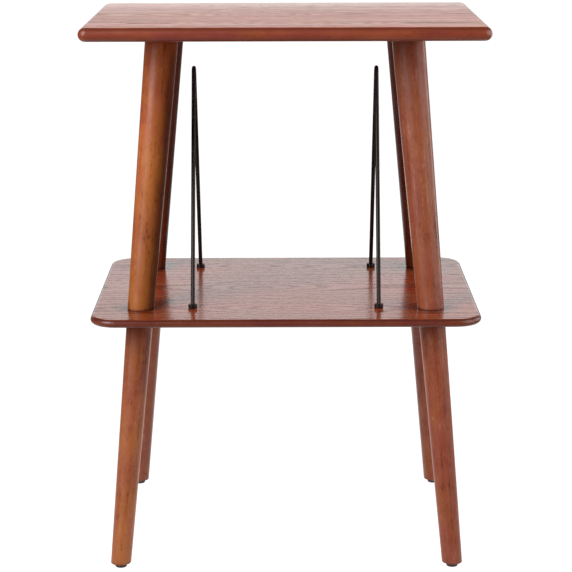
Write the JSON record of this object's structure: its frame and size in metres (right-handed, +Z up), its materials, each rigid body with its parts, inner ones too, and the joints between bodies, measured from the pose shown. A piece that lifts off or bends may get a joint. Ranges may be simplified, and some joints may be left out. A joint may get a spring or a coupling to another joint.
{
  "type": "record storage stand",
  "caption": "Two-tier side stand with splayed round legs, a top for a player and a thin shelf where bent-wire dividers hold record sleeves upright; levelling feet.",
  "frame": {"origin": "on the floor, under the middle of the stand", "axes": "+Z up, +X to the right seen from the front, +Y to the rear; the front faces -Y"},
  "size_m": [0.468, 0.342, 0.648],
  "materials": {
    "veneer": "open-grained veneer, red-brown stain, satin lacquer",
    "solid_wood": "solid close-grained wood, red-brown stain, satin lacquer",
    "stained_board": "board with a rounded, stained and lacquered edge",
    "board": "raw board, hidden inside the top",
    "black_wire": "satin black",
    "zinc_steel": "zinc-plated",
    "brass": "turned",
    "pad": "matt black"
  },
  "bodies": {
    "stand": {"top_core": "board", "top_face_veneer": "veneer", "top_under_veneer": "veneer", "top_lipping_front": "solid_wood", "top_lipping_rear": "solid_wood", "top_lipping_left": "solid_wood", "top_lipping_right": "solid_wood", "shelf_core": "stained_board", "shelf_face_veneer": "veneer", "shelf_under_veneer": "veneer", "upper_leg_front_left": "solid_wood", "upper_leg_front_right": "solid_wood", "upper_leg_rear_left": "solid_wood", "upper_leg_rear_right": "solid_wood", "lower_leg_front_left": "solid_wood", "lower_leg_front_right": "solid_wood", "lower_leg_rear_left": "solid_wood", "lower_leg_rear_right": "solid_wood", "top_inserts": "brass", "top_hanger_bolts": "zinc_steel", "upper_leg_inserts": "brass", "shelf_hanger_bolts": "zinc_steel", "divider_left": "black_wire", "divider_right": "black_wire", "divider_feet": "black_wire", "divider_washers": "zinc_steel", "divider_nuts": "zinc_steel", "foot_sleeves": "zinc_steel"},
    "pad_front_left": {"foot_pad_front_left": "pad"},
    "stem_front_left": {"foot_stem_front_left": "zinc_steel"},
    "pad_front_right": {"foot_pad_front_right": "pad"},
    "stem_front_right": {"foot_stem_front_right": "zinc_steel"},
    "pad_rear_left": {"foot_pad_rear_left": "pad"},
    "stem_rear_left": {"foot_stem_rear_left": "zinc_steel"},
    "pad_rear_right": {"foot_pad_rear_right": "pad"},
    "stem_rear_right": {"foot_stem_rear_right": "zinc_steel"}
  },
  "joints": [
    {"name": "level_front_left", "type": "slide", "parent": "stand", "child": "pad_front_left", "axis": [0, 0, -1], "range_m": [0, 0.008]},
    {"name": "screw_front_left", "type": "hinge", "parent": "pad_front_left", "child": "stem_front_left", "pos_m": [-0.19974, -0.1533, 0.005], "axis": [0, 0, -1], "range_deg": [0, 2880]},
    {"name": "level_front_right", "type": "slide", "parent": "stand", "child": "pad_front_right", "axis": [0, 0, -1], "range_m": [0, 0.008]},
    {"name": "screw_front_right", "type": "hinge", "parent": "pad_front_right", "child": "stem_front_right", "pos_m": [0.19974, -0.1533, 0.005], "axis": [0, 0, -1], "range_deg": [0, 2880]},
    {"name": "level_rear_left", "type": "slide", "parent": "stand", "child": "pad_rear_left", "axis": [0, 0, -1], "range_m": [0, 0.008]},
    {"name": "screw_rear_left", "type": "hinge", "parent": "pad_rear_left", "child": "stem_rear_left", "pos_m": [-0.19974, 0.1533, 0.005], "axis": [0, 0, -1], "range_deg": [0, 2880]},
    {"name": "level_rear_right", "type": "slide", "parent": "stand", "child": "pad_rear_right", "axis": [0, 0, -1], "range_m": [0, 0.008]},
    {"name": "screw_rear_right", "type": "hinge", "parent": "pad_rear_right", "child": "stem_rear_right", "pos_m": [0.19974, 0.1533, 0.005], "axis": [0, 0, -1], "range_deg": [0, 2880]}
  ],
  "couplings": [
    {"joint": "screw_front_left", "follows": "level_front_left", "rad_per_m": 6283.2},
    {"joint": "screw_front_right", "follows": "level_front_right", "rad_per_m": 6283.2},
    {"joint": "screw_rear_left", "follows": "level_rear_left", "rad_per_m": 6283.2},
    {"joint": "screw_rear_right", "follows": "level_rear_right", "rad_per_m": 6283.2}
  ]
}
